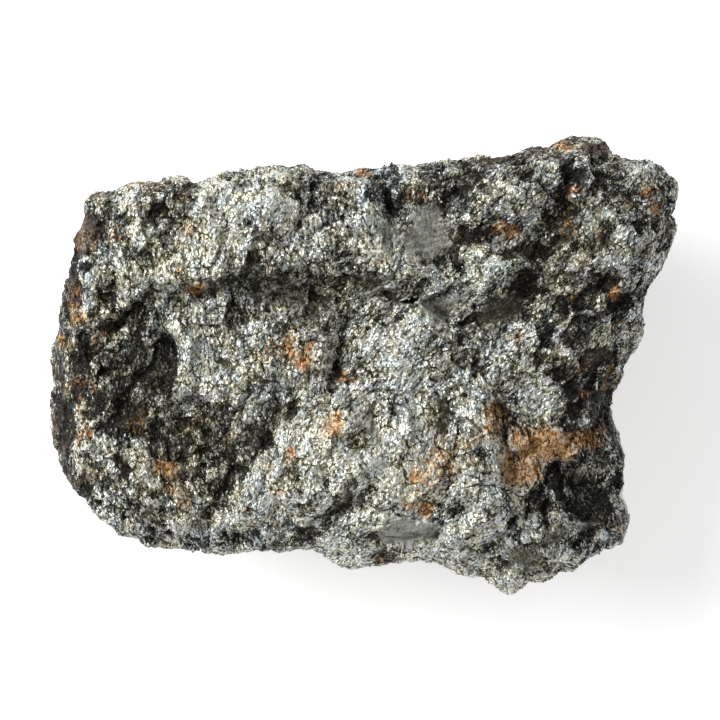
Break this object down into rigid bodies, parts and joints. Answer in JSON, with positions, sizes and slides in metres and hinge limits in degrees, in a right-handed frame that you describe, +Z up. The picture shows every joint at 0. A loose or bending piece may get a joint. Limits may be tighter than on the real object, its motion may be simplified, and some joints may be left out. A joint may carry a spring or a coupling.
{
  "type": "arsenopyrite specimen",
  "caption": "Hand-sized broken lump of massive granular arsenopyrite ore, with a rough stepped fracture face, lying on a small flat spot.",
  "frame": {"origin": "middle of the lump's plan, on the surface it rests on", "axes": "+X along the length of the lump, +Y across it, +Z up out of the broken face"},
  "size_m": [0.105, 0.077, 0.0417],
  "materials": {
    "ore": "rough broken metallic grey grains with dark gaps, smooth slaty patches and rust-brown stains"
  },
  "bodies": {
    "root": {"arsenopyrite_lump": "ore"}
  },
  "joints": []
}
